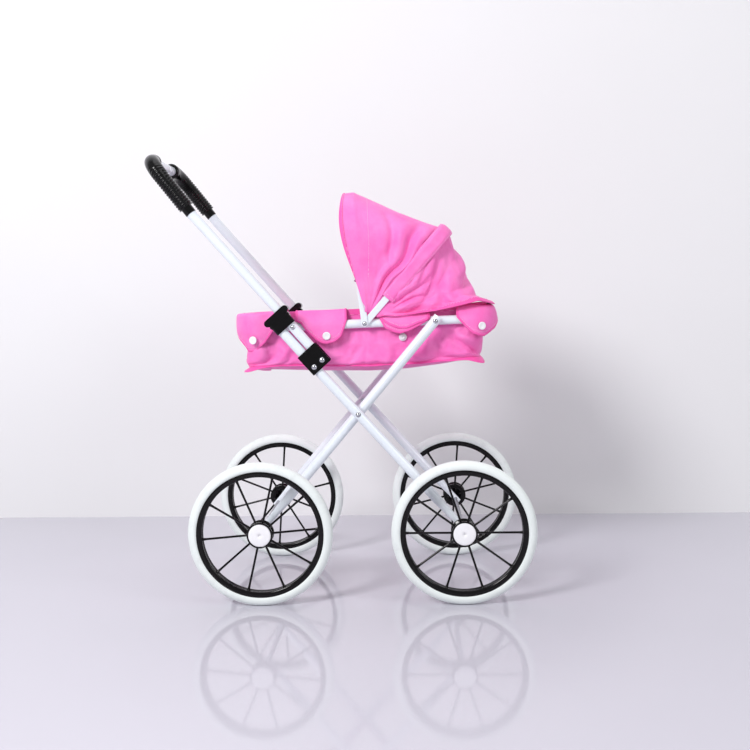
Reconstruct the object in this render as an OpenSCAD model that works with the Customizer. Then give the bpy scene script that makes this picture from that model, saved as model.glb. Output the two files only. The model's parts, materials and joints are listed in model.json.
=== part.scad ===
// Folding doll pram: two pairs of crossed legs, a rail that carries a cloth bassinet and hood,
// and a handle that swings forward over them once its two lock sleeves are slid up.
// Millimetres. +X is the way the pram faces, +Z is up, and the floor is Z = 0.

/* [Wheels] */
// Distance between the front and rear axles
wheelbase = 308; // [300:1:316]
// Distance between the middle planes of the left and right wheels
track = 292.6; // [288:0.2:300]
// Outside diameter of each tyre
tyre_d = 220; // [210:1:220]
// Width of each tyre
tyre_w = 19; // [16:0.5:21]
// Radial height of the tyre above the rim
tyre_h = 13.5; // [12:0.5:16]
// Width of the rim
rim_w = 16; // [12:0.5:16]
// Radial thickness of the rim
rim_h = 8.5; // [6:0.5:10]
// Number of spokes in a wheel
spokes = 10; // [8:1:12]
// Diameter of a spoke
spoke_d = 3.4; // [3:0.1:4]
// Diameter of the hub flanges
hub_d = 39.4; // [37:0.2:42]
// Diameter of the cap that covers the axle end
cap_d = 34; // [30:0.5:35]

/* [Frame] */
// Outside diameter of the leg and handle tubes
tube_d = 15; // [14:0.5:15]
// Wall thickness of the steel tubes
wall = 1; // [0.8:0.1:1.5]
// Diameter of the axle rods
axle_d = 6; // [5:0.5:6]
// Where the legs cross, ahead of the middle of the wheelbase
cross_x = -4.5; // [-6:0.5:0]
// Height of the pivot where the legs cross
cross_z = 286.7; // [284:0.1:290]
// Length of a rear leg from its axle to the rail rivet
rear_leg_l = 415.7; // [412:0.1:418]
// How far a front leg runs on past the crossing pivot
front_leg_top = 178; // [175:1:180]
// Distance of the rear legs from the middle plane
rear_leg_y = 92; // [92:0.5:92.5]
// Distance of the front legs and of the handle from the middle plane
front_leg_y = 109.5; // [109.5:0.5:110]

/* [Handle] */
// Handle pivot, measured along the front leg from the crossing pivot
pivot_s = 98.8; // [98:0.2:99]
// Handle pivot, measured square to the front leg
pivot_n = 16.2; // [16.2:0.1:16.5]
// Lean of the handle forward of the front leg, degrees
handle_lean = 0.75; // [0.5:0.05:1]
// Rivet that ties the handle to the rail, above the handle pivot
link_s = 66; // [65:0.5:67]
// Length of the lower straight part of the handle
handle_low_l = 294; // [290:1:300]
// Length of the upper part, up to the cross tube
handle_top_l = 106; // [102:0.5:112]
// Forward bend between the two parts, degrees
handle_bend = 3; // [1:0.5:8]
// Radius of the corners of the handle
handle_r = 40; // [35:1:45]
// Diameter of the ribbed grips
grip_d = 24; // [22:0.5:26]

/* [Bassinet] */
// Diameter of the rail tube
rail_d = 14; // [13:0.5:14]
// Distance of the rail's sides from the middle plane
rail_y = 73; // [72.5:0.5:73]
// Reach of the rail behind the rail rivet
rail_back = 304.6; // [300:0.1:306]
// Reach of the rail ahead of the rail rivet
rail_front = 90.5; // [88:0.5:92]
// Radius of the corners of the rail
rail_r = 35; // [30:1:40]
// Depth of the cloth bag below the rail at its ends
bag_end_depth = 58; // [55:1:62]
// Depth of the cloth bag below the rail at its lowest
bag_depth = 79; // [75:1:82]
// Height of the bag's rim above the rail
bag_rim = 20; // [16:1:22]

/* [Hood] */
// Hood pivot, ahead of the middle of the wheelbase
hood_x = 6; // [4:0.5:8]
// Radius of the hood about its pivot
hood_r = 207.2; // [204:0.2:208]
// Half the width of the hood
hood_y = 85.4; // [85:0.1:85.4]
// Radius of the hood's top corners
hood_corner_r = 62; // [50:1:70]
// Lean of the front bow from level, degrees
front_bow_a = 96.4; // [94:0.1:98]
// Lean of the middle bow from level, degrees
mid_bow_a = 48.5; // [46:0.1:49]
// Width of the flat hood bows
bow_w = 10; // [8:0.5:11]

/* [Hidden] */
$fn = 64;
fit = 0.05;            // running clearance of a shaft in its hole
slot_gap = 0.1;        // side gap between neighbouring parts on one shaft
tube_r = tube_d / 2;
rail_tube_r = rail_d / 2;
axle_r = axle_d / 2;
tyre_r = tyre_d / 2;
rivet_r = 2.5;
screw_r = 2;
hub_half = 11.5;       // half the length of a wheel hub
cap_seat = 10.1;       // distance of the cap's seat from the wheel's middle plane
front_axle = [wheelbase / 2, tyre_r];
rear_axle = [-wheelbase / 2, tyre_r];
cross = [cross_x, cross_z];

// Places in the side plane are [x, z] pairs. "up_n" is square to a direction, on its upper front side.
function dir(a) = [cos(a), sin(a)];
function up_n(a) = [sin(a), -cos(a)];
function at(p, a, s, n = 0) = p + s * dir(a) + n * up_n(a);
function angle_to(p, q) = atan2(q[1] - p[1], q[0] - p[0]);

front_leg_a = angle_to(front_axle, cross);
rear_leg_a = angle_to(rear_axle, cross);
front_cross_l = norm(cross - front_axle);
rear_cross_l = norm(cross - rear_axle);
rail_pivot = at(rear_axle, rear_leg_a, rear_leg_l);
handle_pivot = at(cross, front_leg_a, pivot_s, pivot_n);
handle_a = front_leg_a - handle_lean;
link = at(handle_pivot, handle_a, link_s);
rail_a = angle_to(link, rail_pivot);
knee = at(handle_pivot, handle_a, handle_low_l);
knee_swell = 0.3;      // the ball at the knee is this much larger than the tube
handle_top_a = handle_a - handle_bend;
cross_tube = at(knee, handle_top_a, handle_top_l);
hood_pivot = at(rail_pivot, rail_a, (hood_x - rail_pivot[0]) / cos(rail_a));

// The origin is on the floor under the middle of the whole length.
front_end_x = front_axle[0] + tyre_r;
rear_end_x = cross_tube[0] - grip_d / 2;
centre_x = (front_end_x + rear_end_x) / 2;

// Stations across the pram, from the middle plane outwards
wheel_y = track / 2;
hub_in = wheel_y - hub_half;
hub_out = wheel_y + hub_half;
leg_tip_r = 4.8;
leg_tip_back = 8;      // how far a leg runs on below its axle
taper_start = 12;      // the foot widens to the full tube between these two
taper_end = 62;
rear_leg_over = 8;     // how far a rear leg runs on past the rail rivet
plate_t = 1.7;         // wall of the bracket and of the lock sleeve
plate_y = tube_r + plate_t;
rear_leg_in = rear_leg_y - tube_r;
rear_leg_out = rear_leg_y + tube_r;
front_leg_in = front_leg_y - tube_r;
front_leg_out = front_leg_y + tube_r;
rail_in = rail_y - rail_tube_r;
rail_out = rail_y + rail_tube_r;

// Lock sleeve, measured along the handle from its pivot
sleeve_s = 71.8;
sleeve_l = 29;
sleeve_gap_n = 17.2;   // from the handle's middle line to the front leg's, at the sleeve
lobe_r = 5.4;

// Hood: each of the three cloth panels runs inside the one ahead of it
cloth_t = 1.4;
side_step = 1.8;
top_step = 11;
hood_hub_r = 16;
front_panel_a0 = 68;
mid_panel_a1 = 70;
rear_panel_a0 = 10;
rear_panel_a1 = 50;
bow_eye_r = bow_w / 2;

// Bassinet walls, measured from the rail's middle line
bag_t = 2;
bag_gap = 1.5;         // clears the rivet heads and the flaps inside the rail
bag_bulge_y = 71;
flap_t = 1.2;

// ---------------------------------------------------------------- placing

// A shape drawn with its own +X along direction a of the side plane, starting at p
module lay(p, a) translate([p[0] - centre_x, 0, p[1]]) rotate([0, -a, 0]) children();

// Left is +Y and right is -Y; every side shape is drawn for the left.
module on_left() children();
module on_right() mirror([0, 1, 0]) children();
module both_sides() {
    on_left() children();
    on_right() children();
}

// A round bar across the pram, between two distances from the middle plane
module bar_y(r, y0, y1) translate([0, y0, 0]) rotate([-90, 0, 0]) cylinder(r = r, h = y1 - y0);
module ring_y(r, hole_r, y0, y1) difference() {
    bar_y(r, y0, y1);
    bar_y(hole_r, y0 - 1, y1 + 1);
}
module bar_x(r, x0, x1) translate([x0, 0, 0]) rotate([0, 90, 0]) cylinder(r = r, h = x1 - x0);

// A domed head: a slice of a ball that stands h proud of the plane at y
module dome_y(r, h, y) {
    ball_r = (r * r + h * h) / (2 * h);
    intersection() {
        translate([0, y + h - ball_r, 0]) sphere(r = ball_r);
        bar_y(r + 1, y, y + h + 1);
    }
}

// ---------------------------------------------------------------- wheels

module tyre() rotate([-90, 0, 0]) rotate_extrude() difference() {
    crown_r = tyre_w / 2;
    seat_r = tyre_r - tyre_h;
    union() {
        translate([tyre_r - crown_r, 0]) circle(r = crown_r);
        translate([seat_r, -crown_r]) square([tyre_h - crown_r, tyre_w]);
    }
    translate([0, -tyre_w]) square([seat_r, 2 * tyre_w]);
}

module wheel() {
    rim_r = tyre_r - tyre_h;
    lip = 1.2;
    barrel_r = 12;
    flange_t = 4;
    nut_pocket_r = 8;
    nut_pocket_y = 4;
    difference() {
        union() {
            rotate([-90, 0, 0]) rotate_extrude() polygon([
                [rim_r - rim_h + lip, -rim_w / 2], [rim_r, -rim_w / 2], [rim_r, rim_w / 2],
                [rim_r - rim_h + lip, rim_w / 2], [rim_r - rim_h, rim_w / 2 - lip],
                [rim_r - rim_h, -rim_w / 2 + lip]
            ]);
            bar_y(barrel_r, -hub_half, hub_half);
            bar_y(hub_d / 2, hub_half - flange_t, hub_half);
            bar_y(hub_d / 2, -hub_half, -hub_half + flange_t);
            for (i = [0:spokes - 1])
                rotate([0, i * 360 / spokes, 0]) bar_x(spoke_d / 2, barrel_r - 1, rim_r - rim_h + 1);
        }
        bar_y(axle_r + fit, -hub_half - 1, hub_half + 1);
        bar_y(nut_pocket_r, nut_pocket_y, hub_half + 1);
        bar_y(cap_d / 2 + fit, cap_seat, hub_half + 1);
    }
}

module cap() rotate([-90, 0, 0]) rotate_extrude() polygon([
    [0, cap_seat], [cap_d / 2, cap_seat], [cap_d / 2, cap_seat + 1.6],
    [cap_d / 2 - 0.8, cap_seat + 2], [0, cap_seat + 2.4]
]);

// phase turns the wheel; one spoke points straight forward at 0
module place_wheel(axle, phase) translate([axle[0] - centre_x, wheel_y, axle[1]])
    rotate([0, phase, 0]) children();
rear_right_phase = -5;
left_phase = 22;
module front_right() on_right() place_wheel(front_axle, 0) children();
module front_left() on_left() place_wheel(front_axle, left_phase) children();
module rear_right() on_right() place_wheel(rear_axle, rear_right_phase) children();
module rear_left() on_left() place_wheel(rear_axle, left_phase) children();

module axle_rod() bar_y(axle_r, -(hub_out - 4), hub_out - 4);
module axle_bush(from_y) ring_y(5.5, axle_r + fit, from_y, hub_in - slot_gap);
module axle_nut() ring_y(6, axle_r, hub_out - 7.2, hub_out - 5.4);

// ---------------------------------------------------------------- legs

// A leg starts at its axle. Its foot is drawn in to a narrow tip that the axle passes through.
module leg(y, top, holes) difference() {
    translate([0, y, 0]) {
        bar_x(leg_tip_r, -leg_tip_back, taper_start);
        translate([taper_start, 0, 0]) rotate([0, 90, 0])
            cylinder(r1 = leg_tip_r, r2 = tube_r, h = taper_end - taper_start);
        bar_x(tube_r, taper_end, top);
    }
    translate([0, y, 0]) bar_x(tube_r - wall, taper_end + 2, top + 1);
    bar_y(axle_r, y - tube_r - 1, y + tube_r + 1);
    for (h = holes) translate([h[0], 0, 0]) bar_y(h[1], y - tube_r - 1, y + tube_r + 1);
}

module front_leg() lay(front_axle, front_leg_a)
    leg(front_leg_y, front_cross_l + front_leg_top,
        [[front_cross_l, rivet_r], [front_cross_l + pivot_s, screw_r]]);
module rear_leg() lay(rear_axle, rear_leg_a)
    leg(rear_leg_y, rear_leg_l + rear_leg_over,
        [[rear_cross_l, rivet_r + fit], [rear_leg_l, rivet_r + fit]]);

module cross_rivet() lay(cross, 0) {
    bar_y(rivet_r, rear_leg_in - 1.2, front_leg_out);
    dome_y(4, 2.2, front_leg_out);
    ring_y(3.6, rivet_r, rear_leg_in - 1.2, rear_leg_in - 0.1);
}
module cross_washer() lay(cross, 0) ring_y(6, rivet_r + fit, rear_leg_out + 0.1, front_leg_in - 0.1);

// ---------------------------------------------------------------- brackets

// A channel open on its upper front side. The front leg is screwed in its closed side, and the
// handle turns on a screw in its open side.
bracket_low = 89.5 - pivot_s;
bracket_high = 126 - pivot_s;
bracket_back = tube_r + plate_t;
bracket_front = 26.2;
module bracket() lay(at(cross, front_leg_a, pivot_s), front_leg_a) {
    difference() {
        for (y = [front_leg_y - plate_y, front_leg_y + tube_r])
            translate([0, y, 0]) bracket_plate();
        for (n = [0, pivot_n]) translate([0, 0, -n])
            bar_y(screw_r + fit, front_leg_in - 5, front_leg_out + 5);
        translate([14, front_leg_out + 0.9, -12.5]) cube([8, 2, 7]);
    }
    translate([bracket_low, front_leg_y - plate_y, tube_r + 0.05])
        cube([bracket_high - bracket_low, 2 * plate_y, plate_t - 0.05]);
}
module bracket_plate() {
    corner = 3;
    translate([bracket_low, 0, -bracket_front + corner])
        cube([bracket_high - bracket_low, plate_t, bracket_front + bracket_back - corner]);
    translate([bracket_low + corner, 0, -bracket_front])
        cube([bracket_high - bracket_low - 2 * corner, plate_t, corner + 1]);
    for (x = [bracket_low + corner, bracket_high - corner])
        translate([x, 0, -bracket_front + corner]) bar_y(corner, 0, plate_t);
}
module screw() {
    bar_y(screw_r, front_leg_in - plate_t - 1.2, front_leg_out + plate_t);
    dome_y(4.2, 2, front_leg_out + plate_t);
    ring_y(3.4, screw_r, front_leg_in - plate_t - 1.2, front_leg_in - plate_t - 0.05);
}

// ---------------------------------------------------------------- handle

// A ball whose poles lie along X
module ball(r) rotate([0, 90, 0]) sphere(r = r);

// One side of the handle, from its pivot up to the middle of the cross tube
module handle_side(r) {
    lay(handle_pivot, handle_a) translate([0, front_leg_y, 0]) {
        ball(r);
        bar_x(r, 0, handle_low_l);
        translate([handle_low_l, 0, 0]) ball(r + knee_swell);
    }
    lay(knee, handle_top_a) bent_bar(r, 0, -0.01);
}
module handle_tube() difference() {
    both_sides() handle_side(tube_r);
    both_sides() handle_side(tube_r - wall);
    both_sides() lay(handle_pivot, handle_a) for (s = [0, link_s])
        translate([s, 0, 0]) bar_y(s == 0 ? screw_r + fit : rivet_r, front_leg_in - 1, front_leg_out + 1);
}

// slip is how much further up the tube a grip sits
module grip(slip) {
    start = slip + 2;
    collar_l = 12;
    inner_end = front_leg_y - handle_r - slip - 1.5;
    collar_r = 8.6;
    lay(knee, handle_top_a) difference() {
        union() {
            translate([0, front_leg_y, 0]) bar_x(collar_r, start, start + collar_l + 1);
            bent_bar(grip_d / 2, start + collar_l, inner_end);
        }
        bent_bar(tube_r, start - 1, inner_end - 1);
    }
}
// A bar along the handle's upper part, round its corner and in along the cross tube
module bent_bar(r, x0, y0) {
    corner_x = handle_top_l - handle_r;
    corner_y = front_leg_y - handle_r;
    translate([0, front_leg_y, 0]) bar_x(r, x0, corner_x);
    translate([corner_x, corner_y, 0]) rotate_extrude(angle = 90) translate([handle_r, 0]) circle(r = r);
    translate([handle_top_l, 0, 0]) bar_y(r, y0, corner_y);
}

link_in = 85;
module link_rivet() lay(link, 0) {
    bar_y(rivet_r, link_in, front_leg_out);
    dome_y(3.7, 2, front_leg_out);
}
module link_spacer() lay(link, 0) ring_y(5, rivet_r, link_in, front_leg_in - slot_gap);

// ---------------------------------------------------------------- lock sleeves

// A ring round the handle with a jaw beside it that closes over the top of the front leg.
// The jaw is open on its rear lower side, so the handle can swing away.
module lock_sleeve() lay(handle_pivot, handle_a) translate([sleeve_s, front_leg_y, 0]) difference() {
    front = tube_r + plate_t;
    back = sleeve_gap_n + tube_r + plate_t;
    collar_l = 9.5;
    union() {
        sleeve_block(front, back, plate_y, 0, sleeve_l - 3);
        sleeve_block(front + 0.8, back + 0.8, plate_y + 0.6, sleeve_l - 15, sleeve_l - 12);
        translate([sleeve_l - collar_l, -plate_y - 0.6, -front - 1])
            cube([collar_l, 2 * plate_y + 1.2, front + back + 1]);
        for (z = [-front - 0.2, back - 1.8])
            translate([sleeve_l - lobe_r, 0, z]) bar_y(lobe_r, -plate_y - 0.6, plate_y + 0.6);
    }
    bar_x(tube_r + 0.08, -1, sleeve_l + 1);
    translate([0, 0, sleeve_gap_n]) bar_x(tube_r + 0.5, -1, 12);
    translate([-1, -tube_r - 0.5, sleeve_gap_n]) cube([13, tube_d + 1, 30]);
}
module sleeve_block(front, back, side, x0, x1) {
    round_r = 4;
    translate([x0, -side + round_r, -front]) cube([x1 - x0, 2 * (side - round_r), front + back]);
    translate([x0, -side, -front + round_r]) cube([x1 - x0, 2 * side, front + back - 2 * round_r]);
    for (y = [-1, 1], z = [-front + round_r, back - round_r])
        translate([0, y * (side - round_r), z]) bar_x(round_r, x0, x1);
}

// ---------------------------------------------------------------- rail and bassinet

module in_rail() lay(rail_pivot, rail_a) children();

module rail_side(r) {
    translate([0, rail_y, 0]) bar_x(r, -rail_back + rail_r, rail_front - rail_r);
    rail_corner_front() circle(r = r);
    rail_corner_back() circle(r = r);
    for (x = [-rail_back, rail_front]) translate([x, 0, 0]) bar_y(r, -0.01, rail_y - rail_r);
}
module rail_corner_front() translate([rail_front - rail_r, rail_y - rail_r, 0])
    rotate_extrude(angle = 90) translate([rail_r, 0]) children();
module rail_corner_back() translate([-rail_back + rail_r, rail_y - rail_r, 0]) rotate([0, 0, 90])
    rotate_extrude(angle = 90) translate([rail_r, 0]) children();
module rail() in_rail() difference() {
    both_sides() rail_side(rail_tube_r);
    both_sides() rail_side(rail_tube_r - wall);
    for (x = [0, (hood_pivot[0] - rail_pivot[0]) / cos(rail_a)]) both_sides()
        translate([x, 0, 0]) bar_y(x == 0 ? rivet_r : screw_r, rail_in - 1, rail_out + 1);
}

module rail_rivet() in_rail() {
    bar_y(rivet_r, rail_in - 1.2, rear_leg_out);
    dome_y(3.8, 2, rear_leg_out);
    ring_y(3.6, rivet_r, rail_in - 1.2, rail_in - 0.1);
}
module rail_spacer() in_rail() ring_y(5, rivet_r, rail_out + 0.1, rear_leg_in - 0.1);

// Cloth bag: its rim stands up inside the rail, and its body swells out a little below the rail.
module bag_outline(back, front, top, end_depth, depth) {
    length = front - back;
    polygon([
        [back, top], [back, -end_depth],
        [back + 0.13 * length, -end_depth - 0.6 * (depth - end_depth)],
        [back + 0.36 * length, -depth], [back + 0.62 * length, -depth],
        [back + 0.86 * length, -end_depth - 0.6 * (depth - end_depth)],
        [front, -end_depth], [front, top]
    ]);
}
module plan_block(back, front, y, r, z0, z1) translate([0, 0, z0]) linear_extrude(height = z1 - z0) {
    translate([back + r, -y]) square([front - back - 2 * r, 2 * y]);
    translate([back, -y + r]) square([front - back, 2 * y - 2 * r]);
    for (x = [back + r, front - r], s = [-1, 1]) translate([x, s * (y - r)]) circle(r = r);
}
module bag_solid(inset, top) {
    back = -rail_back + rail_tube_r + bag_gap + inset;
    front = rail_front - rail_tube_r - bag_gap - inset;
    upper_y = rail_in - bag_gap - inset;
    low_top = -rail_tube_r - bag_gap - inset;
    intersection() {
        translate([0, 100, 0]) rotate([90, 0, 0]) linear_extrude(height = 200)
            bag_outline(back - 3, front + 3, top, bag_end_depth - inset, bag_depth - inset);
        union() {
            plan_block(back, front, upper_y, 27 - inset, -100, top + 1);
            plan_block(back - 3, front + 3, bag_bulge_y - inset, 30 - inset, -100, low_top);
        }
    }
}
module bassinet() in_rail() difference() {
    bag_solid(0, bag_rim);
    bag_solid(bag_t, bag_rim + 2);
}

// Flaps: strips that fold over the rail from inside and hang down outside it, in three places a side
flap_r0 = rail_tube_r + 0.15;
flap_r1 = flap_r0 + flap_t;
module flap_section() difference() {
    circle(r = flap_r1);
    circle(r = flap_r0);
    translate([-20, -20]) square([20, 20]);
}
module flap_strip(x0, x1) translate([x0, rail_y, 0]) rotate([90, 0, 90])
    linear_extrude(height = x1 - x0) flap_section();
module flap_tab(points) translate([0, rail_y + flap_r1, 0]) rotate([90, 0, 0])
    linear_extrude(height = flap_t) polygon(points);
module end_flap(x, sign) translate([x, 0, 0]) mirror([sign > 0 ? 0 : 1, 0, 0])
    rotate([90, 0, 0]) translate([0, 0, -0.01])
        linear_extrude(height = rail_y - rail_r + 0.01) flap_section();
module flaps_one_side() {
    side_x0 = -227.6;
    side_x1 = -136.5;
    rear_x = -rail_back + rail_r;
    front_x = rail_front - rail_r;
    flap_strip(side_x0, side_x1);
    flap_tab([
        [side_x0, 0], [side_x0 + 10, -8], [-178, -30], [-164, -34], [-146, -28], [-138, -14], [side_x1, 0]
    ]);
    flap_strip(rear_x, rear_x + 34);
    flap_tab([[rear_x, 0], [rear_x, -26], [rear_x + 8, -27], [rear_x + 34, 0]]);
    flap_strip(front_x - 20, front_x);
    flap_tab([[front_x - 20, 0], [front_x - 8, -14], [front_x, -26], [front_x, 0]]);
    rail_corner_front() {
        flap_section();
        translate([flap_r0, -26]) square([flap_t, 26]);
    }
    rail_corner_back() {
        flap_section();
        translate([flap_r0, -26]) square([flap_t, 26]);
    }
    mirror([0, 1, 0]) {
        end_flap(rail_front, 1);
        end_flap(-rail_back, -1);
    }
}
module rim_flaps() in_rail() both_sides() flaps_one_side();

// Three snaps close the flaps of each side, two of them on the rail's corners, and the fourth
// stands open on the bag
snap_r = 6.2;
snap_t = 1.15;
module snap_buttons() in_rail() both_sides() {
    translate([-rail_back + rail_r, rail_y - rail_r, 0]) rotate([0, 0, 13.5])
        snap([0, -18.7], rail_r + flap_r1 + fit);
    translate([rail_front - rail_r, rail_y - rail_r, 0]) rotate([0, 0, -17])
        snap([0, -11], rail_r + flap_r1 + fit);
    snap([-168, -16.5], rail_y + flap_r1 + fit);
    snap([-50, -24], bag_bulge_y + fit);
}
module snap(p, y) translate([p[0], 0, p[1]]) bar_y(snap_r, y, y + snap_t);

// ---------------------------------------------------------------- hood

module in_hood(a) lay(hood_pivot, a) children();

// Outline of a hood arch, in radius from the pivot and distance across, for cloth layer n
module arch(n, inset, from_r) {
    r = hood_r - n * top_step - inset;
    y = hood_y - n * side_step - inset;
    c = hood_corner_r - n * side_step - inset;
    translate([from_r, -y]) square([r - c - from_r, 2 * y]);
    translate([from_r, -y + c]) square([r - from_r, 2 * (y - c)]);
    for (s = [-1, 1]) translate([r - c, s * (y - c)]) circle(r = c);
}
module arch_shell(n, from_r) difference() {
    arch(n, 0, from_r);
    arch(n, cloth_t, from_r - 5);
}
module panel(n, a0, a1) in_hood(a0) rotate([90, 0, 0])
    rotate_extrude(angle = a1 - a0) arch_shell(n, hood_hub_r);
module bow_slot(a) in_hood(a) translate([-10, -100, -bow_w / 2 - slot_gap])
    cube([250, 200, bow_w + 2 * slot_gap]);
module bow(n, a) in_hood(a) difference() {
    y0 = hood_y - n * side_step - cloth_t;
    union() {
        translate([0, 0, -bow_w / 2]) linear_extrude(height = bow_w) arch_shell(n, 0);
        both_sides() bar_y(bow_eye_r, y0, y0 + cloth_t);
    }
    both_sides() bar_y(screw_r + fit, y0 - 1, y0 + cloth_t + 1);
}

module hood_front_panel() difference() {
    panel(0, front_panel_a0, front_bow_a);
    bow_slot(front_bow_a);
}
module hood_mid_panel() difference() {
    panel(1, mid_bow_a, mid_panel_a1);
    bow_slot(mid_bow_a);
}
module hood_rear_panel() panel(2, rear_panel_a0, rear_panel_a1);
module hood_rivet() lay(hood_pivot, 0) {
    inner_y = hood_y - side_step - cloth_t;
    bar_y(screw_r, rail_in - 1.2, hood_y + 0.1);
    dome_y(3.6, 1.8, hood_y + 0.1);
    ring_y(3.4, screw_r, rail_in - 1.2, rail_in - 0.1);
    ring_y(4.5, screw_r, rail_out + 0.1, inner_y - 0.1);
}

// ---------------------------------------------------------------- drawing

white_paint = [0.9, 0.93, 0.96];
black = [0.08, 0.08, 0.09];
steel = [0.75, 0.76, 0.78];
pink = [0.95, 0.35, 0.65];
foam = [0.9, 0.92, 0.91];

color(white_paint) rail();
color(pink) bassinet();
color([1, 0.45, 0.7]) rim_flaps();
color("white") snap_buttons();
color(steel) both_sides() rail_rivet();  // rail_rivets
color(black) both_sides() rail_spacer();  // rail_spacers
color(steel) both_sides() hood_rivet();  // hood_rivets
color(pink) hood_rear_panel();
color(white_paint) bow(1, mid_bow_a);  // hood_mid_bow
color([1, 0.5, 0.75]) hood_mid_panel();
color(white_paint) bow(0, front_bow_a);  // hood_front_bow
color(pink) hood_front_panel();

color(white_paint) on_right() rear_leg();  // rear_leg_right
color(white_paint) on_left() rear_leg();  // rear_leg_left
color(steel) lay(rear_axle, 0) axle_rod();  // rear_axle_rod
color(black) lay(rear_axle, 0)  // rear_axle_bushes
    both_sides() axle_bush(rear_leg_y + leg_tip_r + 0.1);
color(steel) lay(rear_axle, 0) both_sides() axle_nut();  // rear_axle_nuts

color(white_paint) on_right() front_leg();  // front_leg_right
color(white_paint) on_left() front_leg();  // front_leg_left
color(steel) lay(front_axle, 0) axle_rod();  // front_axle_rod
color(black) lay(front_axle, 0)  // front_axle_bushes
    both_sides() axle_bush(front_leg_y + leg_tip_r + 0.1);
color(steel) lay(front_axle, 0) both_sides() axle_nut();  // front_axle_nuts
color(steel) both_sides() cross_rivet();  // cross_rivets
color(black) both_sides() cross_washer();  // cross_washers
color(black) on_right() bracket();  // bracket_right
color(black) on_left() bracket();  // bracket_left
color(steel)  // bracket_screws
    both_sides() lay(at(cross, front_leg_a, pivot_s), 0) screw();
color(steel) both_sides() lay(handle_pivot, 0) screw();  // pivot_screws

color(white_paint) handle_tube();
color(black) on_right() grip(0);  // grip_right
color(black) on_left() grip(12);  // grip_left
color(steel) both_sides() link_rivet();  // link_rivets
color(black) both_sides() link_spacer();  // link_spacers
color(black) on_right() lock_sleeve();  // lock_sleeve_right
color(black) on_left() lock_sleeve();  // lock_sleeve_left

color(foam) front_right() tyre();  // front_right_tyre
color(black) front_right() wheel();  // front_right_wheel
color("white") front_right() cap();  // front_right_cap
color(foam) front_left() tyre();  // front_left_tyre
color(black) front_left() wheel();  // front_left_wheel
color("white") front_left() cap();  // front_left_cap
color(foam) rear_right() tyre();  // rear_right_tyre
color(black) rear_right() wheel();  // rear_right_wheel
color("white") rear_right() cap();  // rear_right_cap
color(foam) rear_left() tyre();  // rear_left_tyre
color(black) rear_left() wheel();  // rear_left_wheel
color("white") rear_left() cap();  // rear_left_cap
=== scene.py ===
"""The looks of a folding doll pram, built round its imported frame.

Lengths are in metres and angles in radians, in the frame's own axes: +X is the way the pram
faces, +Y is its left and +Z is up. Right-side pieces have negative Y.
"""

import json
import math

import bpy
import numpy as np
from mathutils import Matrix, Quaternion, Vector, noise


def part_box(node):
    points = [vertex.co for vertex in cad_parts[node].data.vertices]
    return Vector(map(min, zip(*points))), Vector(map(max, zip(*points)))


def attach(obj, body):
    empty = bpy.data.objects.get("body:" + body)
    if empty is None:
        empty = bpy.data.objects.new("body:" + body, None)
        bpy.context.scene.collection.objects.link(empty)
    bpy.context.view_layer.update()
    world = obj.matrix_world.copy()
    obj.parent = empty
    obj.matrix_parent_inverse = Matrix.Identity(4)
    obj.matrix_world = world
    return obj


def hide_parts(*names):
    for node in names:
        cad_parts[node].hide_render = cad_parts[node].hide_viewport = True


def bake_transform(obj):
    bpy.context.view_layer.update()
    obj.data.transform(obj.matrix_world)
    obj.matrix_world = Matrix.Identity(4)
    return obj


MM = 0.001
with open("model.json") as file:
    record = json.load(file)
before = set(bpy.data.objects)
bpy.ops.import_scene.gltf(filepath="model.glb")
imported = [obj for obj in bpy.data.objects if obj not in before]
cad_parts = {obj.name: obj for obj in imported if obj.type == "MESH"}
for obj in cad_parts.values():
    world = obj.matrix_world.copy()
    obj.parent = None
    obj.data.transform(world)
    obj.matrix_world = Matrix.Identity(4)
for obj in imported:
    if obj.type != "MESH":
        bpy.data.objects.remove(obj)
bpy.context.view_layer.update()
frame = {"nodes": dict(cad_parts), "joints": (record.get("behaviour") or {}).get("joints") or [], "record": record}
joints = {j["name"]: j for j in frame["joints"]}
SIDES = {"right": -1, "left": 1}


# ---------------------------------------------------------------- places

def pivot(joint):
    """The (x, z) place of a joint's axis in the side plane."""
    x, _, z = joints[joint]["pos_m"]
    return np.array([x, z])


def middle(node):
    """The (x, z) middle of a CAD node's box."""
    low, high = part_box(node)
    return np.array([(low.x + high.x) / 2, (low.z + high.z) / 2])


def heading(a, b):
    """The angle of the line from a to b in the side plane, from +X towards +Z."""
    return math.atan2(b[1] - a[1], b[0] - a[0])


def ahead(angle):
    return np.array([math.cos(angle), math.sin(angle)])


HOOD = pivot("hood_fold")
RAIL = pivot("rail_fold")
HANDLE = pivot("handle_fold")
LINK = middle("link_rivets")
AXLES = {"front": middle("front_axle_rod"), "rear": middle("rear_axle_rod")}
RAIL_ANGLE = heading(LINK, RAIL)
HANDLE_ANGLE = heading(HANDLE, LINK)


def on_bar(origin, angle, along, across, up=0.0):
    """Points given along a bar, across the pram and square above the bar, as an array of (x, y, z)."""
    along, across, up = np.broadcast_arrays(along, across, up)
    x = origin[0] + along * math.cos(angle) - up * math.sin(angle)
    z = origin[1] + along * math.sin(angle) + up * math.cos(angle)
    return np.stack([x, across, z], axis=-1)


def on_rail(along, across, up=0.0):
    return on_bar(RAIL, RAIL_ANGLE, along, across, up)


# ---------------------------------------------------------------- materials

def srgb(red, green, blue):
    """A colour given as it looks on a screen, from 0 to 255, as the linear colour that nodes take."""
    def linear(c):
        c /= 255
        return c / 12.92 if c <= 0.04045 else ((c + 0.055) / 1.055) ** 2.4
    return (linear(red), linear(green), linear(blue), 1.0)


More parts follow.
